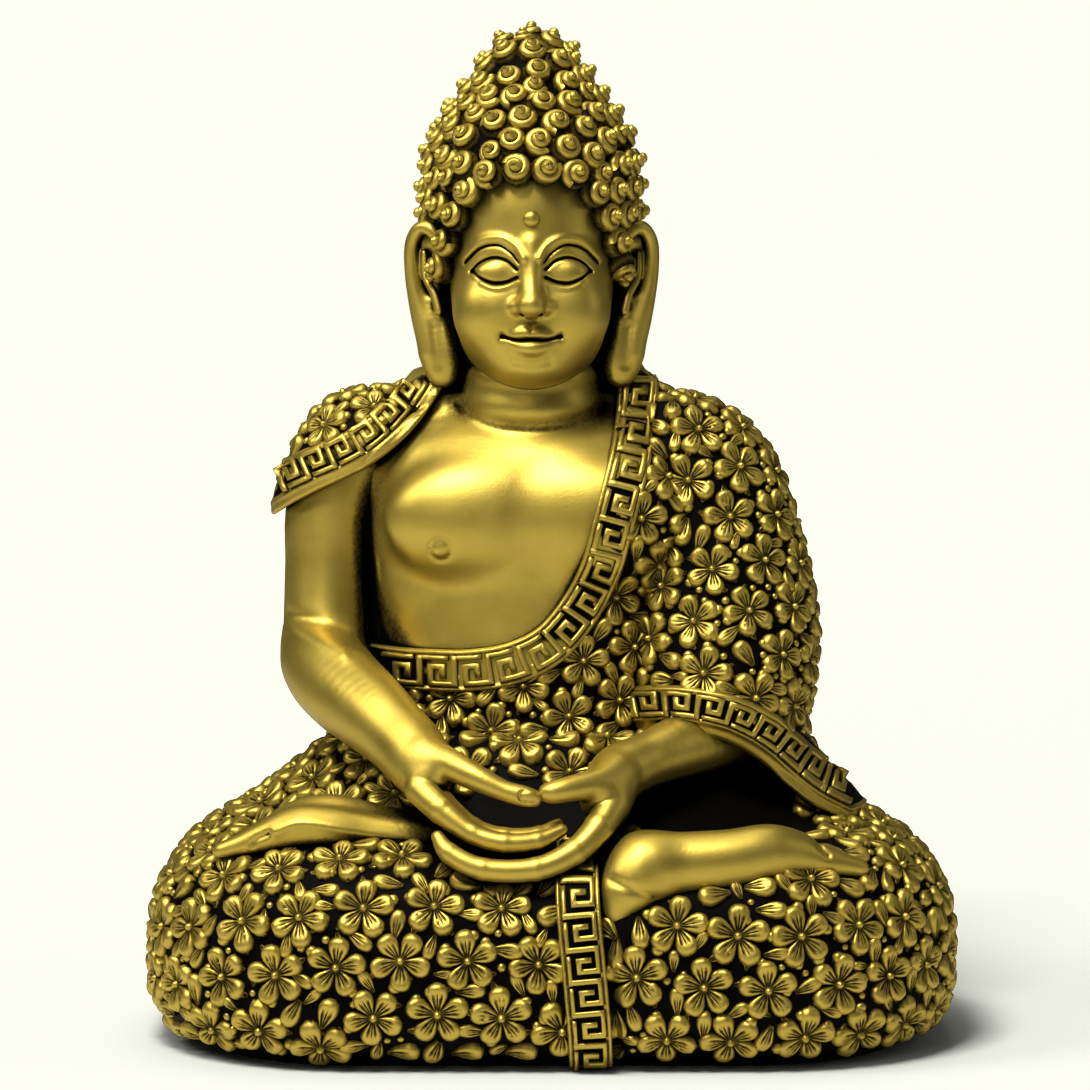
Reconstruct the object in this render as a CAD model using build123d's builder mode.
"""A seated buddha statue cast in resin: hollow castings joined at spigots, with trim and a closed base.

Millimetres. +Z is up, the face looks along -Y, and the origin is the middle of the underside.
Left and right in the names are the figure's own: its right arm is on the -X side.
"""

import os
from math import cos, pi, radians, sin

from build123d import *

os.makedirs("parts", exist_ok=True)

# Driving dimensions
WIDTH = 234.0  # across the knees
DEPTH = 146.0  # front of the lap to the back
LAP_TOP = 62.0
WAIST = 88.0  # where the torso casting stands on the lap casting
SHOULDER_TOP = 194.0
CHIN = 192.0
HAIR_TOP = 296.0
WALL = 5.0  # thickness of the hollow castings
FELT = 1.2
BODY_X = -5.0  # the torso sits a little to the figure's right
HEAD_X = -6.0
HEAD_Y = 13.0

KNEE_RADIUS = 62.0
TOP_ROUND = 30.0
FOOT_ROUND = 17.0
ROBE = 2.5  # thickness of the robe over the torso
BAND = 4.2  # thickness of the bordered hem over the torso
BAND_WIDTH = 10.6
GLUE_GAP = 0.05
RING_POINTS = 10


def export(part, name):
    """Writes one labelled node."""
    part.label = name
    export_step(part, f"parts/{name}.step")


def rings(stations, grow=0.0):
    """A body lofted through level ellipses, each (height, middle x, middle y, half width, half depth)."""
    with BuildPart() as body:
        for z, x, y, half_width, half_depth in stations:
            with BuildSketch(Plane.XY.offset(z)):
                with BuildLine():
                    Spline(
                        [
                            (
                                x + (half_width + grow) * cos(2 * pi * i / RING_POINTS),
                                y + (half_depth + grow) * sin(2 * pi * i / RING_POINTS),
                            )
                            for i in range(RING_POINTS)
                        ],
                        periodic=True,
                    )
                make_face()
        loft()
    return body.part


def limb(points, radii, flat=0.98, up=(0, 0, 1)):
    """A tapered tube lofted through an ellipse at each point of a path, flat times as thick as it is wide."""
    path = [Vector(*point) for point in points]
    with BuildPart() as tube:
        for i, (here, radius) in enumerate(zip(path, radii)):
            along = path[min(i + 1, len(path) - 1)] - path[max(i - 1, 0)]
            across = along.cross(Vector(*up))
            with BuildSketch(Plane(origin=here, x_dir=across, z_dir=along)):
                Ellipse(radius, radius * flat)
        loft()
    return tube.part


def front_prism(sketch, near, far=0.0):
    """A front view sketch as a prism, reaching near towards the front and far towards the back."""
    with BuildPart() as prism:
        extrude(sketch, amount=near, dir=(0, -1, 0))
        if far:
            extrude(sketch, amount=far, dir=(0, 1, 0))
    return prism.part


def farthest(shells, start, aim):
    """The last point where a ray leaves a surface, or None."""
    reached = [
        point
        for shell in shells
        for point, _ in shell.find_intersection_points(Axis(start, aim))
        if (point - start).dot(aim) > 0
    ]
    return max(reached, key=lambda point: (point - start).dot(aim), default=None)


def hit(shells, origin, direction):
    """The point where a ray leaves a surface and the outward normal there, or None."""
    start, aim = Vector(*origin), Vector(*direction).normalized()
    side = aim.cross(Vector(0, 0, 1)).normalized()
    rise = side.cross(aim)
    spots = [farthest(shells, start + step * 0.4, aim) for step in (aim * 0, side, rise)]
    if None in spots:
        return None
    middle, beside, above = spots
    normal = (beside - middle).cross(above - middle).normalized()
    return middle, (normal if normal.dot(aim) > 0 else -normal)


def seated(unit, spots, lift=GLUE_GAP):
    """A copy of unit on each (point, normal, turn in degrees, size), a glue gap above the surface."""
    copies = []
    for point, normal, turn, size in spots:
        plane = Plane(origin=point + normal * lift, z_dir=normal)
        copy = unit.scale(size) if size != 1 else unit
        copies.append(plane.location * Rotation(0, 0, turn) * copy)
    return copies


def grouped(copies):
    """Separate solids as one node."""
    return Compound(children=[solid for copy in copies for solid in copy.solids()])


# ---------------------------------------------------------------- base and lap
def lap_block(inset, bottom, top, low_round, high_round):
    """The lap's rounded block, inset all round."""
    with BuildPart() as block:
        with BuildSketch(Plane.XY.offset(bottom)):
            RectangleRounded(WIDTH - 2 * inset, DEPTH - 2 * inset, KNEE_RADIUS - inset)
        extrude(amount=top - bottom)
        fillet(block.faces().sort_by(Axis.Z)[-1].edges(), high_round)
        fillet(block.faces().sort_by(Axis.Z)[0].edges(), low_round)
    return block.part


MOUND = [
    (46.0, 0.0, 6.0, 104.0, 60.0),
    (62.0, -1.0, 8.0, 95.0, 56.0),
    (78.0, -3.0, 12.0, 72.0, 47.0),
    (WAIST, -4.0, 14.0, 58.0, 40.0),
]
SPIGOT = (40.0, 26.0)  # half width and half depth of the waist joint
SPIGOT_DEPTH = 9.0
SPIGOT_Y = 14.0
PLATE_INSET = FOOT_ROUND + 6.0
PLATE_SEAT = 3.0
LEDGE = 4.0

lap_outer = lap_block(0, FELT, LAP_TOP, FOOT_ROUND, TOP_ROUND) + rings(MOUND)
lap_cavity = lap_block(WALL, FELT + WALL, LAP_TOP - WALL, FOOT_ROUND - 5, TOP_ROUND - WALL)
mound_cavity = rings([(z - WALL, x, y, a, b) for z, x, y, a, b in MOUND], grow=-WALL)
with BuildPart() as lap:
    add(lap_outer)
    add(lap_cavity, mode=Mode.SUBTRACT)
    add(mound_cavity, mode=Mode.SUBTRACT)
    with BuildSketch(Plane.XY.offset(WAIST)):
        with Locations((BODY_X, SPIGOT_Y)):
            Ellipse(*SPIGOT)
    extrude(amount=-2 * WALL, mode=Mode.SUBTRACT)
    with BuildSketch(Plane.XY.offset(FELT)):
        RectangleRounded(
            WIDTH - 2 * PLATE_INSET, DEPTH - 2 * PLATE_INSET, KNEE_RADIUS - PLATE_INSET
        )
    extrude(amount=PLATE_SEAT, mode=Mode.SUBTRACT)
    with BuildSketch(Plane.XY.offset(FELT)):
        RectangleRounded(
            WIDTH - 2 * (PLATE_INSET + LEDGE),
            DEPTH - 2 * (PLATE_INSET + LEDGE),
            KNEE_RADIUS - PLATE_INSET - LEDGE,
        )
    extrude(amount=2 * WALL, mode=Mode.SUBTRACT)
export(lap.part, "lap_casting")

FILLER_RADIUS = 11.0
FILLER_X, FILLER_Y = 45.0, 0.0
with BuildPart() as base_plate:
    inset = PLATE_INSET + GLUE_GAP
    with BuildSketch(Plane.XY.offset(FELT)):
        RectangleRounded(WIDTH - 2 * inset, DEPTH - 2 * inset, KNEE_RADIUS - inset)
        with Locations((FILLER_X, FILLER_Y)):
            Circle(FILLER_RADIUS, mode=Mode.SUBTRACT)
    extrude(amount=PLATE_SEAT - GLUE_GAP)
export(base_plate.part, "base_plate")

with BuildPart() as filler_plug:
    with BuildSketch(Plane.XY.offset(FELT)):
        with Locations((FILLER_X, FILLER_Y)):
            Circle(FILLER_RADIUS - GLUE_GAP)
    extrude(amount=PLATE_SEAT)
    with BuildSketch(Plane.XY.offset(FELT + PLATE_SEAT)):
        with Locations((FILLER_X, FILLER_Y)):
            Circle(FILLER_RADIUS + 1.5)
    extrude(amount=2.5)
    chamfer(filler_plug.faces().sort_by(Axis.Z)[-1].edges(), 1.0)
export(filler_plug.part, "filler_plug")

FELT_INSET = FOOT_ROUND - 1.0
with BuildPart() as felt_sheet:
    with BuildSketch(Plane.XY):
        RectangleRounded(
            WIDTH - 2 * FELT_INSET, DEPTH - 2 * FELT_INSET, KNEE_RADIUS - FELT_INSET
        )
    extrude(amount=FELT)
export(felt_sheet.part, "felt_sheet")

# ---------------------------------------------------------------- torso and neck
TORSO = [
    (WAIST, BODY_X + 1, 16.0, 50.0, 36.0),
    (110.0, BODY_X, 16.0, 46.0, 32.0),
    (140.0, BODY_X, 15.0, 50.0, 31.0),
    (162.0, BODY_X, 15.0, 52.0, 29.0),
    (178.0, BODY_X, 17.0, 46.0, 25.0),
    (188.0, HEAD_X, 18.0, 33.0, 21.0),
    (SHOULDER_TOP, HEAD_X, 18.0, 22.0, 18.0),
]
TORSO_CAVITY = [(WAIST + WALL, BODY_X + 1, 16.0, 49.0, 35.0), *TORSO[1:-1]]
NECK_RADIUS = 20.0
NECK_TOP = 206.0
NECK_PIN = 8.0
torso_outer = rings(TORSO)
with BuildPart() as torso:
    add(torso_outer)
    add(rings(TORSO_CAVITY, grow=-WALL), mode=Mode.SUBTRACT)
    with BuildSketch(Plane.XY.offset(WAIST - SPIGOT_DEPTH)):
        with Locations((BODY_X, SPIGOT_Y)):
            Ellipse(SPIGOT[0] - GLUE_GAP, SPIGOT[1] - GLUE_GAP)
            Ellipse(SPIGOT[0] - WALL, SPIGOT[1] - WALL, mode=Mode.SUBTRACT)
    extrude(amount=SPIGOT_DEPTH + 3)
export(torso.part, "torso_casting")

with BuildPart() as neck:
    with BuildSketch(Plane.XY.offset(SHOULDER_TOP)):
        with Locations((HEAD_X, 17.0)):
            Circle(NECK_RADIUS - 2.5)
    extrude(amount=NECK_TOP - SHOULDER_TOP)
    with BuildSketch(Plane.XY.offset(NECK_TOP)):
        with Locations((HEAD_X, 17.0)):
            Circle(NECK_PIN - GLUE_GAP)
    extrude(amount=10)
neck_outer = neck.part

# ---------------------------------------------------------------- head
HEAD = [
    (CHIN, HEAD_X, -2.0, 9.0, 10.0),
    (197.0, HEAD_X, 1.0, 17.5, 18.0),
    (204.0, HEAD_X, 6.0, 22.5, 24.0),
    (214.0, HEAD_X, 9.0, 24.6, 27.5),
    (228.0, HEAD_X, 11.5, 25.2, 29.5),
    (242.0, HEAD_X, HEAD_Y, 25.2, 30.0),
    (254.0, HEAD_X, HEAD_Y, 23.8, 28.5),
    (266.0, HEAD_X, HEAD_Y, 18.0, 22.0),
    (274.0, HEAD_X, HEAD_Y, 10.0, 12.0),
]
head_outer = rings(HEAD)


def mirrored_limbs(points, radii, **facts):
    """The same limb on both sides of the face, given on the figure's left."""
    sides = []
    for side in (1, -1):
        path = [(HEAD_X + side * x, y, z) for x, y, z in points]
        sides.append(limb(path, radii, **facts))
    return sides


with BuildPart() as head:
    add(head_outer)
    add(limb([(HEAD_X, -17, 237), (HEAD_X, -19.5, 228), (HEAD_X, -21.5, 220)], [2.2, 2.8, 4.2]))
    for lid in mirrored_limbs([(4.5, -16.5, 229), (10.5, -16.2, 231), (17, -12.5, 229)], [1.2, 3.4, 1.2]):
        add(lid)
    for z, thick in ((211.5, 1.7), (208.5, 2.2)):
        add(
            limb(
                [(HEAD_X - 8, -14.5, z + 0.6), (HEAD_X, -17.2, z), (HEAD_X + 8, -14.5, z + 0.6)],
                [0.8, thick, 0.8],
            )
        )
    add(neck_outer, mode=Mode.SUBTRACT)
    add(rings(TORSO, grow=BAND + GLUE_GAP), mode=Mode.SUBTRACT)
    with BuildSketch(Plane.XY.offset(NECK_TOP)):
        with Locations((HEAD_X, 17.0)):
            Circle(NECK_PIN)
    extrude(amount=11, mode=Mode.SUBTRACT)
export(head.part, "head_casting")
with BuildPart() as neck_cut:
    add(neck_outer)
    add(head.part, mode=Mode.SUBTRACT)
export(neck_cut.part, "neck")

with BuildPart() as urna:
    with Locations((HEAD_X, -18.4, 241.0)):
        Sphere(1.9)
    add(head_outer, mode=Mode.SUBTRACT)
export(urna.part, "urna_bead")

# ---------------------------------------------------------------- hair
HAIR = [
    (216.0, HEAD_X, 18.0, 27.0, 27.0),
    (230.0, HEAD_X, 15.0, 29.6, 32.5),
    (246.0, HEAD_X, 14.0, 30.4, 33.0),
    (260.0, HEAD_X, 14.0, 28.6, 30.5),
    (270.0, HEAD_X, 14.0, 25.0, 26.0),
    (279.0, HEAD_X, 14.0, 19.0, 19.5),
    (287.0, HEAD_X, 14.0, 13.5, 13.5),
    (293.0, HEAD_X, 14.0, 7.5, 7.5),
]
HAIRLINE = 252.5
hair_outer = rings(HAIR)
with BuildPart() as hair_cap:
    add(hair_outer)
    add(rings(HEAD, grow=GLUE_GAP), mode=Mode.SUBTRACT)
    with BuildSketch(Plane.XZ.offset(6.0)):
        with Locations((HEAD_X, HAIRLINE)):
            RectangleRounded(50.0, 80.0, 22.0, align=(Align.CENTER, Align.MAX))
    extrude(amount=60, mode=Mode.SUBTRACT)
    with BuildSketch(Plane.XZ.offset(-3.0)):
        with Locations((HEAD_X, 232.0)):
            Rectangle(80.0, 60.0, align=(Align.CENTER, Align.MAX))
    extrude(amount=60, mode=Mode.SUBTRACT)
export(hair_cap.part.solids().sort_by(SortBy.VOLUME)[-1], "hair_cap")

CURL_RADIUS = 4.0
with BuildPart() as curl:
    with BuildSketch(Plane.XZ):
        with BuildLine():
            Polyline(
                (0, 0), (CURL_RADIUS, 0), (CURL_RADIUS - 0.3, 1.5), (CURL_RADIUS - 1.2, 2.0),
                (CURL_RADIUS - 1.5, 3.2), (CURL_RADIUS - 2.5, 3.6), (CURL_RADIUS - 2.9, 4.6),
                (0, 5.0), (0, 0),
            )
        make_face()
    revolve(axis=Axis.Z)

CURL_ROWS = 8
CURL_PITCH = 8.9
hair_shell = hair_outer.shells()
spots = []
for row in range(CURL_ROWS):
    z = 226.0 + row * 8.4
    across = hit(hair_shell, (HEAD_X, 14.0, z), (1, 0, 0))
    radius = across[0].X - HEAD_X
    count = max(5, round(2 * pi * radius / CURL_PITCH))
    for i in range(count):
        angle = 2 * pi * (i + (row % 2) / 2) / count - pi / 2
        found = hit(hair_shell, (HEAD_X, 14.0, z - 3.0), (cos(angle), sin(angle), 3.0 / radius))
        point, normal = found
        in_front = point.Y < 4.0
        if in_front and z < HAIRLINE + 3:
            continue
        spots.append((point, normal, 40 * i, 1))
spots.append((Vector(HEAD_X, 14.0, 293.0), Vector(0, 0, 1), 0, 1))
export(grouped(seated(curl.part, spots)), "hair_curls")

# ---------------------------------------------------------------- ears
for side, name in ((-1, "right_ear"), (1, "left_ear")):
    path = [
        (29.5, 12, 238), (30.5, 11, 231), (28.5, 10.5, 219),
        (26.8, 10, 209), (27.6, 9.5, 199), (27, 9.5, 193),
    ]
    ear = limb(
        [(HEAD_X + side * x, y, z) for x, y, z in path],
        [3.0, 6.2, 5.0, 3.8, 4.8, 2.6],
        flat=0.55,
        up=(0, 1, 0) if side > 0 else (0, -1, 0),
    )
    with BuildPart() as ear_cut:
        add(ear)
        add(rings(HEAD, grow=GLUE_GAP), mode=Mode.SUBTRACT)
        add(hair_cap.part, mode=Mode.SUBTRACT)
        add(neck_outer, mode=Mode.SUBTRACT)
    export(ear_cut.part.solids().sort_by(SortBy.VOLUME)[-1], name)

# ---------------------------------------------------------------- arms and hands
UPPER_ARM = (
    [(-50, 17, 176), (-61, 16, 168), (-66, 14, 150), (-67, 12, 128), (-67, 9, 112)],
    [9, 15.5, 12.5, 11.5, 12.5],
)
FOREARM = (
    [(-68, 12, 110), (-66, 1, 107), (-56, -16, 97), (-44, -31, 88), (-35, -39, 83)],
    [11, 13, 12, 10, 8.2],
)
LEFT_FOREARM = (
    [(54, -2, 96), (46, -18, 91), (33, -32, 87), (22, -40, 84), (16, -43, 82)],
    [9, 11, 10.5, 9, 8.2],
)
torso_solid = rings(TORSO, grow=GLUE_GAP)
with BuildPart() as right_arm:
    add(limb(*UPPER_ARM))
    add(limb(*FOREARM))
    add(torso_solid, mode=Mode.SUBTRACT)
    add(lap_outer, mode=Mode.SUBTRACT)
right_arm_solid = right_arm.part.solids().sort_by(SortBy.VOLUME)[-1]
export(right_arm_solid, "right_arm")

with BuildPart() as left_forearm:
    add(limb(*LEFT_FOREARM))
    add(rings(TORSO, grow=BAND + GLUE_GAP), mode=Mode.SUBTRACT)
    add(lap_outer, mode=Mode.SUBTRACT)
left_forearm_solid = left_forearm.part.solids().sort_by(SortBy.VOLUME)[-1]
export(left_forearm_solid, "left_forearm")


def hand(palm, thumb, fingers, cutters):
    """A palm, a thumb and four fingers as one solid, cut back from what they rest on."""
    with BuildPart() as whole:
        add(limb(*palm, flat=0.6))
        add(limb(*thumb))
        for finger in fingers:
            add(limb(*finger))
        for cutter in cutters:
            add(cutter, mode=Mode.SUBTRACT)
    return whole.part.solids().sort_by(SortBy.VOLUME)[-1]


FINGER_PITCH = 5.6
right_fingers = []
left_fingers = []
for i in range(4):
    back = i * FINGER_PITCH
    low = 0.8 * i
    right_fingers.append(
        (
            [
                (-27, -54 + back, 70 - low),
                (-15, -58 + back, 63.5 - low),
                (-2, -58.5 + back, 61 - low),
                (8, -57 + back, 63 - low),
            ],
            [3.4, 3.3, 3.0, 2.3],
        )
    )
    left_fingers.append(
        (
            [
                (12, -57 + back, 67 - low),
                (3, -62 + back, 57 - low),
                (-14, -62 + back, 53.5 - low),
                (-30, -59 + back, 59 - low),
                (-33, -58 + back, 63 - low),
            ],
            [3.5, 3.4, 3.2, 3.0, 2.2],
        )
    )
right_hand = hand(
    ([(-35, -39, 83), (-31, -45, 77), (-24, -50, 68)], [8.0, 10.5, 8.5]),
    ([(-32, -48, 82), (-22, -55, 80), (-11, -58, 78), (-4, -59, 77)], [4.5, 4.4, 3.6, 2.8]),
    right_fingers,
    [lap_outer, right_arm_solid],
)
export(right_hand, "right_hand")
left_hand = hand(
    ([(16, -43, 82), (14, -48, 76), (11, -53, 66)], [8.0, 10.0, 8.0]),
    ([(15, -49, 80), (8, -56, 80), (0, -59, 79), (-3.5, -60, 79)], [4.4, 4.2, 3.4, 2.6]),
    left_fingers,
    [lap_outer, left_forearm_solid, right_hand],
)
export(left_hand, "left_hand")

# ---------------------------------------------------------------- robe over the torso
BAND_LINE = [(27, 197), (20.5, 162), (7, 131), (-15, 112.5), (-52, 108.5)]
with BuildSketch(Plane.XZ) as band_sketch:
    with BuildLine() as band_line:
        Spline(BAND_LINE)
    trace(line_width=BAND_WIDTH)
with BuildSketch(Plane.XZ) as bare_sketch:
    with BuildLine():
        bare_edge = Spline(BAND_LINE)
        Polyline(BAND_LINE[-1], (-120, 108.5), (-120, 197), BAND_LINE[0])
    make_face()
band_prism = front_prism(band_sketch.sketch, near=60)
bare_prism = front_prism(bare_sketch.sketch, near=60)

robe_layer = rings(TORSO, grow=ROBE) - rings(TORSO, grow=GLUE_GAP)
band_layer = rings(TORSO, grow=BAND) - rings(TORSO, grow=GLUE_GAP)
with BuildPart() as collar_band:
    add(band_layer)
    add(band_prism, mode=Mode.INTERSECT)
    add(neck_outer, mode=Mode.SUBTRACT)
    add(right_arm_solid, mode=Mode.SUBTRACT)
collar_solid = collar_band.part.solids().sort_by(SortBy.VOLUME)[-1]
export(collar_solid, "collar_band")

with BuildPart() as robe_body:
    add(robe_layer)
    add(band_prism, mode=Mode.SUBTRACT)
    add(bare_prism, mode=Mode.SUBTRACT)
    add(right_arm_solid, mode=Mode.SUBTRACT)
    add(left_forearm_solid, mode=Mode.SUBTRACT)
    add(neck_outer, mode=Mode.SUBTRACT)
robe_solid = robe_body.part.solids().sort_by(SortBy.VOLUME)[-1]
export(robe_solid, "robe_body")

# ---------------------------------------------------------------- left sleeve
SLEEVE = [
    (63.0, 54.0, 12.0, 36.0, 40.0),
    (76.0, 51.0, 8.0, 34.5, 38.0),
    (92.0, 46.0, 5.0, 28.0, 34.0),
    (117.0, 49.0, 7.0, 28.0, 30.0),
    (145.0, 46.0, 12.0, 25.5, 26.0),
    (165.0, 42.0, 15.0, 24.0, 23.0),
    (178.0, 37.0, 16.0, 22.0, 19.0),
    (189.0, 30.0, 17.0, 14.0, 13.0),
]
HEM_LINE = [(10, 97), (23, 98.5), (40, 99), (56, 93), (70, 83), (90, 70)]
with BuildSketch(Plane.XZ) as hem_sketch:
    with BuildLine():
        Spline(HEM_LINE)
        Polyline(HEM_LINE[-1], (120, 70), (120, 20), (10, 20), HEM_LINE[0])
    make_face()
hem_prism = front_prism(hem_sketch.sketch, near=90)
with BuildPart() as left_sleeve:
    add(rings(SLEEVE))
    add(rings(MOUND, grow=GLUE_GAP), mode=Mode.SUBTRACT)
    add(rings(TORSO, grow=BAND + GLUE_GAP), mode=Mode.SUBTRACT)
    add(hem_prism, mode=Mode.SUBTRACT)
    add(left_forearm_solid, mode=Mode.SUBTRACT)
    add(neck_outer, mode=Mode.SUBTRACT)
sleeve_solid = left_sleeve.part.solids().sort_by(SortBy.VOLUME)[-1]
export(sleeve_solid, "left_sleeve")

with BuildSketch(Plane.XZ) as hem_band_sketch:
    with BuildLine():
        Spline([(x, z + 4.2) for x, z in HEM_LINE])
    trace(line_width=8.0)
with BuildPart() as sleeve_band:
    add(rings(SLEEVE, grow=BAND - ROBE))
    add(rings(SLEEVE, grow=GLUE_GAP), mode=Mode.SUBTRACT)
    add(front_prism(hem_band_sketch.sketch, near=90), mode=Mode.INTERSECT)
    add(rings(TORSO, grow=BAND + GLUE_GAP), mode=Mode.SUBTRACT)
    add(left_forearm_solid, mode=Mode.SUBTRACT)
sleeve_band_solid = sleeve_band.part.solids().sort_by(SortBy.VOLUME)[-1]
export(sleeve_band_solid, "sleeve_band")

# ---------------------------------------------------------------- right shoulder flap
FLAP = (
    [(-24, 19, 178), (-38, 19, 176), (-52, 19, 170), (-64, 19, 162), (-70, 19, 152)],
    [17.5, 19.5, 20.5, 19.5, 15.0],
)
FLAP_EDGE = ((-30, 186), (-84, 154))
FLAP_BORDER = 8.5
with BuildSketch(Plane.XZ) as flap_sketch:
    with BuildLine():
        Polyline(FLAP_EDGE[0], (-30, 240), (-130, 240), (-130, 150), FLAP_EDGE[1], FLAP_EDGE[0])
    make_face()
above_border = front_prism(flap_sketch.sketch.moved(Location((0, 0, FLAP_BORDER))), near=60, far=60)
above_edge = front_prism(flap_sketch.sketch, near=60, far=60)
with BuildPart() as flap_cloth:
    add(limb(*FLAP))
    add(rings(TORSO, grow=ROBE + GLUE_GAP), mode=Mode.SUBTRACT)
    add(limb(*UPPER_ARM), mode=Mode.SUBTRACT)
    add(neck_outer, mode=Mode.SUBTRACT)
with BuildPart() as shoulder_flap:
    add(flap_cloth.part)
    add(above_border, mode=Mode.INTERSECT)
flap_solid = shoulder_flap.part.solids().sort_by(SortBy.VOLUME)[-1]
export(flap_solid, "shoulder_flap")
with BuildPart() as shoulder_band:
    add(flap_cloth.part)
    add(above_edge, mode=Mode.INTERSECT)
    add(above_border, mode=Mode.SUBTRACT)
shoulder_band_solid = shoulder_band.part.solids().sort_by(SortBy.VOLUME)[-1]
export(shoulder_band_solid, "shoulder_band")

# ---------------------------------------------------------------- front sash
SASH_LINE = [(8, 64), (9, 40), (12, 12), (12, -4)]
with BuildSketch(Plane.XZ) as sash_sketch:
    with BuildLine():
        Spline(SASH_LINE)
    trace(line_width=11.4)
with BuildPart() as front_sash:
    add(lap_block(-3.5, FELT, LAP_TOP + 3.5, FOOT_ROUND, TOP_ROUND + 3.5))
    add(lap_block(-GLUE_GAP, FELT, LAP_TOP + GLUE_GAP, FOOT_ROUND, TOP_ROUND), mode=Mode.SUBTRACT)
    add(front_prism(sash_sketch.sketch, near=120), mode=Mode.INTERSECT)
    add(left_hand, mode=Mode.SUBTRACT)
sash_solid = front_sash.part.solids().sort_by(SortBy.VOLUME)[-1]
export(sash_solid, "front_sash")

# ---------------------------------------------------------------- feet
FEET = {
    "right_foot": (
        [
            (17, -63, 46), (25, -58, 56), (38, -57, 58), (52, -56, 60),
            (64, -54, 62), (73, -52, 60), (80, -51, 58), (88, -50, 56),
        ],
        [7, 12, 11.5, 11, 12.5, 9, 6, 3],
    ),
    "left_foot": (
        [(-30, -30, 66), (-45, -34, 68), (-60, -36, 69), (-75, -37, 67), (-88, -38, 63), (-98, -38, 58)],
        [7, 10, 12, 12, 10, 5],
    ),
}
foot_solids = []
for name, (path, radii) in FEET.items():
    with BuildPart() as foot:
        add(limb(path, radii, flat=0.72))
        add(lap_outer, mode=Mode.SUBTRACT)
        for neighbour in (right_arm_solid, right_hand, left_hand, left_forearm_solid):
            add(neighbour, mode=Mode.SUBTRACT)
        add(sleeve_solid, mode=Mode.SUBTRACT)
        add(sash_solid, mode=Mode.SUBTRACT)
    foot_solids.append(foot.part.solids().sort_by(SortBy.VOLUME)[-1])
    export(foot_solids[-1], name)

# ---------------------------------------------------------------- relief trim
PETALS = 5
PETAL = (2.3, 3.1)  # half width and half length
BLOOM_HEIGHT = 1.5
CLEAR = 7.0  # room a bloom needs from the pieces around it
with BuildPart() as bloom:
    with BuildSketch():
        with PolarLocations(4.6, PETALS):
            Ellipse(PETAL[1], PETAL[0])
        Circle(2.0)
    extrude(amount=BLOOM_HEIGHT)
    with BuildSketch(Plane.XY.offset(BLOOM_HEIGHT)):
        Circle(1.1)
    extrude(amount=0.7)

STROKE = 1.2
FRET = 7.6
with BuildPart() as fret:
    with BuildSketch():
        half = FRET / 2
        for x, z, wide, tall in (
            (-half, 0, STROKE, FRET),
            (0, half - STROKE / 2, FRET - STROKE, STROKE),
            (half - STROKE, 0.6, STROKE, FRET - STROKE),
            (0.8, -half + STROKE, FRET / 2, STROKE),
            (-1.2, -1.0, STROKE, FRET / 3),
        ):
            with Locations((x, z)):
                Rectangle(wide, tall)
    extrude(amount=0.8)


def along_band(line, count, shells, near_y):
    """Evenly spaced spots along a front view line, on the front of a surface, with the turn of the line."""
    found = []
    for i in range(count):
        share = (i + 0.5) / count
        place, way = line @ share, line % share
        got = hit(shells, (place.X, near_y, place.Z), (0, -1, 0))
        if got:
            found.append((*got, way))
    return found


def frets_on(line, count, solid, near_y):
    """One fret seated on a band at each spot, with its length along the band."""
    copies = []
    for point, normal, way in along_band(line, count, solid.shells(), near_y):
        plane = Plane(origin=point + normal * GLUE_GAP, x_dir=way, z_dir=normal)
        copies.append(plane.location * fret.part)
    return grouped(copies)


with BuildLine(Plane.XZ) as collar_path:
    Spline(BAND_LINE)
export(frets_on(collar_path.line, 14, collar_solid, 10.0), "collar_key_pattern")
with BuildLine(Plane.XZ) as hem_path:
    Spline([(x, z + 4.2) for x, z in HEM_LINE])
export(frets_on(hem_path.line, 9, sleeve_band_solid, 2.0), "sleeve_key_pattern")
with BuildLine(Plane.XZ) as sash_path:
    Spline(SASH_LINE[:-1])
export(frets_on(sash_path.line, 6, sash_solid, -40.0), "sash_key_pattern")


def blooms_on(shells, rays, clear_of):
    """One bloom where each (origin, direction, turn, size) ray leaves the surface, if there is room."""
    spots = []
    for origin, direction, turn, size in rays:
        got = hit(shells, origin, direction)
        if got is None:
            continue
        point, normal = got
        middle = Vertex(*(point + normal))
        if any(solid.distance_to(middle) < CLEAR * size for solid in clear_of):
            continue
        spots.append((point, normal, turn, size))
    return grouped(seated(bloom.part, spots))


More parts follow.
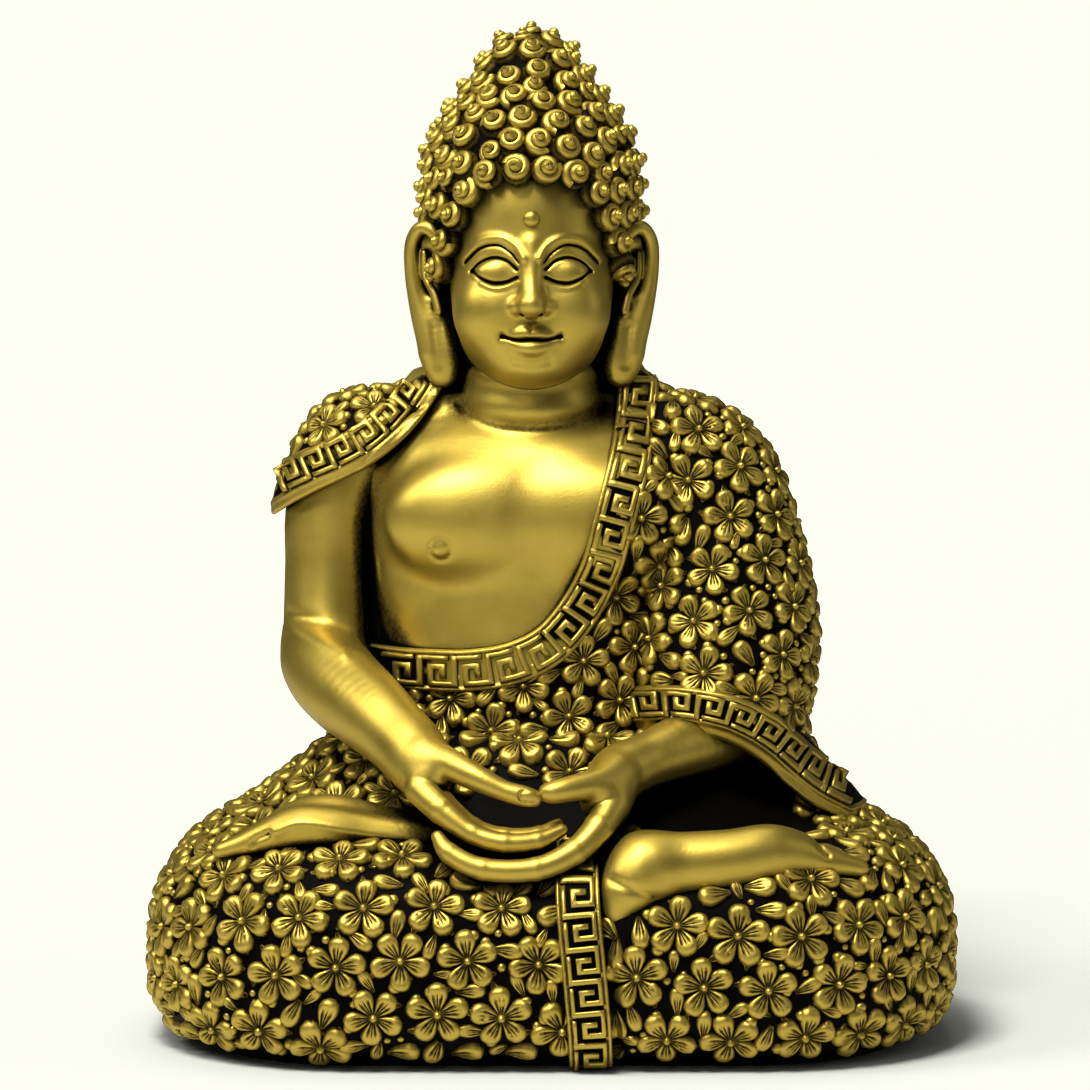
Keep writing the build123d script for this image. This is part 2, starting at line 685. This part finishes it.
def lap_rays():
    """Rays out of the lap all the way round, row above row."""
    rays = []
    straight = WIDTH / 2 - KNEE_RADIUS
    for row, tilt in enumerate((-18, 3, 24, 46)):
        count = 32
        for i in range(count):
            angle = 2 * pi * (i + row % 2 / 2) / count
            origin = (straight * cos(angle), 11.0 * sin(angle), 32.0)
            rays.append(
                (origin, (cos(angle), sin(angle), sin(radians(tilt))), 25 * i, 1.0)
            )
    return rays


lap_neighbours = [sash_solid, sleeve_solid, right_arm_solid, right_hand, left_hand, *foot_solids]
export(blooms_on(lap_outer.shells(), lap_rays(), lap_neighbours), "lap_flowers")


def level_rays(middle, rows, turns):
    """Level rays out of an upright body, in rows of (height, first angle), a step of turns apart."""
    return [
        ((*middle, z), (cos(radians(first + turn)), sin(radians(first + turn)), 0), 31 * turn, 0.9)
        for z, first in rows
        for turn in turns
    ]


sleeve_rows = [(108 + 14.5 * row, 13 * (row % 2)) for row in range(6)]
sleeve_rays = level_rays((44, 12), sleeve_rows, range(-85, 100, 30))
sleeve_neighbours = [sleeve_band_solid, collar_solid]
export(blooms_on(sleeve_solid.shells(), sleeve_rays, sleeve_neighbours), "sleeve_flowers")

robe_rows = [(100 + 14.5 * row, 11 * (row % 2)) for row in range(6)]
robe_rays = level_rays((BODY_X, 15), robe_rows, range(-70, 220, 22))
robe_neighbours = [
    collar_solid, sleeve_solid, left_forearm_solid, right_arm_solid, flap_solid, shoulder_band_solid,
]
export(blooms_on(robe_solid.shells(), robe_rays, robe_neighbours), "robe_flowers")

flap_rays = [
    ((-46, 19, 160), (cos(radians(turn)), sin(radians(lean)), sin(radians(turn))), 17 * lean, 0.8)
    for turn in range(60, 180, 26)
    for lean in range(-60, 61, 40)
]
export(blooms_on(flap_solid.shells(), flap_rays, [shoulder_band_solid]), "shoulder_flowers")

with BuildLine(Plane.XZ) as flap_path:
    Line(*[(x, z + FLAP_BORDER / 2) for x, z in FLAP_EDGE])
export(frets_on(flap_path.line, 7, shoulder_band_solid, 8.0), "shoulder_key_pattern")
